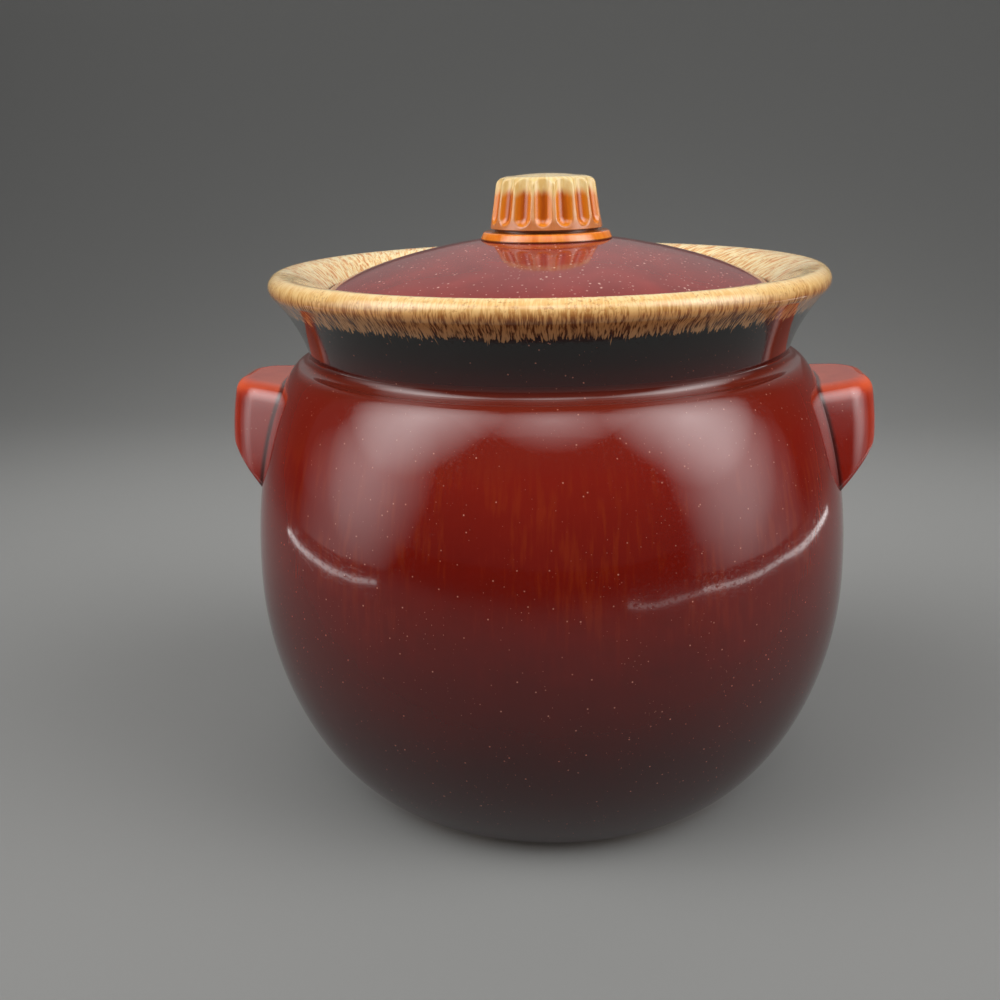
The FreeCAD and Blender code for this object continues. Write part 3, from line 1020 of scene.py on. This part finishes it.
@dataclass
class Knob:
    """The knob: a thin flange, a waist and a fluted grip with a rounded crown."""

    bottom: float
    top: float
    flange_radius: float
    flange_thickness: float = 2.2 * MM
    flange_slope: float = 1.0 * MM
    waist_radius: float = 14.2 * MM
    waist_height: float = 0.8 * MM
    foot_radius: float = 15.4 * MM
    top_radius: float = 13.7 * MM
    crown_radius: float = 9.0 * MM
    crown_fall: float = 0.6 * MM
    shoulder_height: float = 3.4 * MM
    flute_count: int = 16
    flute_radius: float = 2.7 * MM
    flute_depth: float = 1.3 * MM
    flute_foot_gap: float = 0.6 * MM
    rib_rounding: float = 0.35 * MM
    corner: float = 0.45 * MM
    steps_per_flute: int = 20

    def shape(self) -> bmesh.types.BMesh:
        """Turn the knob's outline and press the flutes into it."""
        flange_top = self.bottom + self.flange_thickness
        grip_bottom = flange_top + self.waist_height
        grip_top = (self.top_radius, self.top - self.shoulder_height)
        section = Section(0.0, self.bottom)
        section.line_to(self.flange_radius, self.bottom, self.corner)
        section.line_to(self.flange_radius - self.flange_slope, flange_top, self.corner)
        section.line_to(self.waist_radius, flange_top, self.corner / 2.0)
        section.line_to(self.waist_radius, grip_bottom, self.corner / 2.0)
        section.line_to(self.foot_radius, grip_bottom, self.corner)
        section.through(bezier(((self.foot_radius, grip_bottom), grip_top), 40))
        section.curve_to((self.top_radius, self.top - self.crown_fall),
                         (self.crown_radius, self.top - self.crown_fall), steps=20)
        section.curve_to((self.crown_radius / 2.0, self.top), (0.0, self.top), steps=12)
        shape = section.turn(self.flute_count * self.steps_per_flute)
        self._flute(shape, grip_bottom)
        return shape

    def _flute(self, shape: bmesh.types.BMesh, grip_bottom: float) -> None:
        """Press the flutes into the grip, and mark how deep in a flute each point lies.

        Args:
            shape: The turned knob.
            grip_bottom: How high the grip starts.
        """
        groove = shape.verts.layers.float.new("groove")
        below = shape.verts.layers.float.new("below")
        pitch = FULL_TURN / self.flute_count
        grip_height = self.top - self.shoulder_height - grip_bottom
        start = grip_bottom + self.flute_foot_gap + self.flute_radius
        for vertex in shape.verts:
            radius = math.hypot(vertex.co.x, vertex.co.y)
            vertex[below] = (self.top - vertex.co.z) * PER_MM
            if vertex.co.z < grip_bottom - DOUBLES or radius < self.crown_radius:
                continue
            share = (vertex.co.z - grip_bottom) / grip_height
            face = self.foot_radius + (self.top_radius - self.foot_radius) * share
            angle = math.atan2(vertex.co.y, vertex.co.x)
            aside = face * ((angle + pitch / 2.0) % pitch - pitch / 2.0)
            past_end = max(start - vertex.co.z, 0.0)
            cut = self.flute_radius ** 2 - aside ** 2 - past_end ** 2
            floor = face + self.flute_radius - self.flute_depth
            floor -= math.sqrt(cut) if cut > 0.0 else 0.0
            gap = radius - floor
            ease = max(self.rib_rounding - abs(gap), 0.0) / self.rib_rounding
            pressed = min(radius, floor) - ease * ease * self.rib_rounding / 4.0
            vertex.co.xy *= pressed / radius
            vertex[groove] = min(max((face - pressed) / self.flute_depth, 0.0), 1.0)

    def build(self) -> None:
        """Model and dress the knob."""
        add_piece("glazed_knob", self.shape(), KnobGlaze().material(),
                  Body.COVER, "lid_knob")


# ---- The studio ----


def direction(azimuth: float, elevation: float) -> Vector:
    """The way out from the pot, in degrees round from the front towards +X and in degrees up."""
    round_about, up = math.radians(azimuth), math.radians(elevation)
    return Vector((math.sin(round_about) * math.cos(up), -math.cos(round_about) * math.cos(up),
                   math.sin(up)))


def hang(lamp: bpy.types.Light, place: Vector, back: Vector) -> None:
    """Put a lamp in the scene, out of the camera's sight.

    Args:
        lamp: The lamp.
        place: Where its middle goes.
        back: The way its back points.
    """
    panel = bpy.data.objects.new(lamp.name, lamp)
    panel.location = place
    panel.rotation_euler = back.to_track_quat("Z", "Y").to_euler()
    panel.visible_camera = False
    bpy.context.scene.collection.objects.link(panel)


@dataclass(frozen=True)
class SoftLight:
    """A soft rectangular panel, which shines straight down unless its back is turned."""

    name: str
    place: tuple[float, float, float]
    width: float
    length: float
    radiance: float
    back: tuple[float, float, float] = (0.0, 0.0, 1.0)

    def build(self) -> None:
        """Set the panel up."""
        lamp = bpy.data.lights.new(self.name, "AREA")
        lamp.shape = "RECTANGLE"
        lamp.size = self.width
        lamp.size_y = self.length
        lamp.energy = self.radiance * math.pi * self.width * self.length
        hang(lamp, Vector(self.place), Vector(self.back))


@dataclass(frozen=True)
class Glow:
    """A round light that faces the pot and fades out towards its edge."""

    name: str
    azimuth: float
    elevation: float
    half_angle: float
    radiance: float
    distance: float = 0.6
    aim_height: float = 0.1
    margin: float = 0.1

    def build(self) -> None:
        """Set the light up; its radiance is that of its middle."""
        back = direction(self.azimuth, self.elevation)
        half = math.radians(self.half_angle)
        radius = self.distance * math.tan(half) + self.margin
        lamp = bpy.data.lights.new(self.name, "AREA")
        lamp.shape = "DISK"
        lamp.size = 2.0 * radius
        lamp.spread = 2.0 * half
        faded = (math.tan(half) - half) / math.tan(half)
        lamp.energy = self.radiance * faded * math.pi * math.pi * radius * radius
        hang(lamp, Vector((0.0, 0.0, self.aim_height)) + back * self.distance, back)


@dataclass(frozen=True)
class Sill:
    """A thin bright strip that stands on the floor, from one azimuth to the next."""

    start: float
    stop: float
    radiance: float
    distance: float = 0.42
    height: float = 0.008

    def build(self) -> None:
        """Set the strip up."""
        width = 2.0 * self.distance * math.tan(math.radians((self.stop - self.start) / 2.0))
        back = direction((self.start + self.stop) / 2.0, 0.0)
        middle = back * self.distance + Vector((0.0, 0.0, self.height / 2.0))
        SoftLight("sill", tuple(middle), width, self.height, self.radiance, tuple(back)).build()


@dataclass(frozen=True)
class Viewpoint:
    """Where the camera stands and how it is turned."""

    distance: float = 310.6 * MM
    height: float = 178.2 * MM
    turn: float = math.radians(3.0)
    yaw: float = -0.0461
    pitch: float = 0.3088
    roll: float = 0.0216
    focal_share: float = 1.1
    film: float = 36.0
    nearest: float = 10.0 * MM

    def build(self) -> None:
        """Make the camera and give it to the scene."""
        lens = bpy.data.cameras.new("camera")
        lens.sensor_width = self.film
        lens.lens = self.film * self.focal_share
        lens.clip_start = self.nearest
        camera = bpy.data.objects.new("camera", lens)
        heading = self.turn - self.yaw
        forward = Vector((-math.sin(heading) * math.cos(self.pitch),
                          math.cos(heading) * math.cos(self.pitch), -math.sin(self.pitch)))
        level = Vector((math.cos(heading), math.sin(heading), 0.0))
        upright = level.cross(forward)
        right = level * math.cos(self.roll) - upright * math.sin(self.roll)
        up = level * math.sin(self.roll) + upright * math.cos(self.roll)
        place = Vector((self.distance * math.sin(self.turn),
                        -self.distance * math.cos(self.turn), self.height))
        turned = Matrix((right, up, -forward)).transposed().to_4x4()
        camera.matrix_world = Matrix.Translation(place) @ turned
        bpy.context.scene.collection.objects.link(camera)
        bpy.context.scene.camera = camera


@dataclass
class Studio:
    """A plain pale floor that sweeps up behind the pot, soft panels and a quiet sky."""

    floor_reach: float = 1.6
    cove_start: float = 0.42
    cove_radius: float = 0.30
    wall_height: float = 1.6
    half_width: float = 2.4
    paper_tone: Colour = tone(136, 136, 134)
    paper_roughness: float = 0.9
    sky_tone: Colour = tone(74, 74, 76)

    def sweep(self) -> None:
        """Lay the floor and the backdrop, in one piece of matt paper."""
        shape = bmesh.new()
        outline = [(-self.floor_reach, 0.0), (self.cove_start, 0.0)]
        outline += [(self.cove_start - across, self.cove_radius - up)
                    for across, up in arc((0.0, 0.0), self.cove_radius, QUARTER_TURN, math.pi, 24)]
        outline.append((self.cove_start + self.cove_radius, self.wall_height))
        wire = [shape.verts.new((-self.half_width, back, up)) for back, up in outline]
        edges = [shape.edges.new(pair) for pair in zip(wire, wire[1:])]
        made = bmesh.ops.extrude_edge_only(shape, edges=edges)["geom"]
        moved = [item for item in made if isinstance(item, bmesh.types.BMVert)]
        bmesh.ops.translate(shape, verts=moved, vec=(2.0 * self.half_width, 0.0, 0.0))
        bmesh.ops.recalc_face_normals(shape, faces=shape.faces)
        paper = Shader("paper").finish({"Base Color": self.paper_tone,
                                        "Roughness": self.paper_roughness})
        floor = smooth_object("sweep", shape, paper)

    def sky(self) -> None:
        """Make the world grey."""
        world = bpy.data.worlds.new("sky")
        world.use_nodes = True
        background = world.node_tree.nodes["Background"]
        background.inputs["Color"].default_value = self.sky_tone
        background.inputs["Strength"].default_value = 1.0
        bpy.context.scene.world = world

    def build(self) -> None:
        """Set up the floor, the lights and the camera."""
        self.sweep()
        self.sky()
        for light in (
            SoftLight("front_lamp", (0.005, -0.33, 0.45), 0.47, 0.26, 0.3),
            SoftLight("backdrop_lamp", (0.0, 0.15, 0.75), 1.60, 0.40, 1.5, (0.0, -1.0, 0.2)),
            Glow("back_glow", 180.0, 44.0, 50.0, 0.5),
            Glow("front_glow", 6.0, 55.0, 24.0, 2.8),
            Glow("left_glow", -64.0, 43.0, 30.0, 5.6),
            Glow("left_low", -68.0, 16.0, 26.0, 2.6),
            Glow("left_haze", -80.0, -2.0, 26.0, 0.9),
            Glow("right_glow", 71.0, 39.0, 30.0, 5.6),
            Glow("right_low", 76.0, 16.0, 26.0, 2.6),
            Glow("right_haze", 82.0, -2.0, 30.0, 0.9),
            Sill(-104.0, -56.0, 3.0),
            Sill(28.0, 54.0, 1.2),
            Sill(54.0, 88.0, 3.0),
            Sill(88.0, 122.0, 3.0),
        ):
            light.build()
        Viewpoint().build()
        bpy.context.scene.view_settings.view_transform = "Standard"


def main() -> None:
    """Build the pot piece by piece, then the studio round it."""
    logging.basicConfig(level=logging.INFO, format="%(name)s: %(message)s")
    _, pot_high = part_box("pot_body")
    _, lug_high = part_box("lug_right")
    lid_low, lid_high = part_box("lid")
    knob_low, knob_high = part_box("lid_knob")
    pot = PotBody(belly_radius=pot_high.y, rim_height=pot_high.z)
    pot.build()
    lug = LugHandle(pot=pot, front=lug_high.x, top=lug_high.z, half_width=lug_high.y)
    lug_glaze = LugGlaze().material()
    lug.build("glazed_lug_right", "lug_right", 0.0, lug_glaze)
    lug.build("glazed_lug_left", "lug_left", math.pi, lug_glaze)
    Lid(radius=lid_high.y, seat_height=lid_high.z, knob_flange_radius=knob_high.y,
        ring_bottom=lid_low.z).build()
    Knob(bottom=knob_low.z, top=knob_high.z, flange_radius=knob_high.y).build()
    Studio().build()


if __name__ == "__main__":
    main()
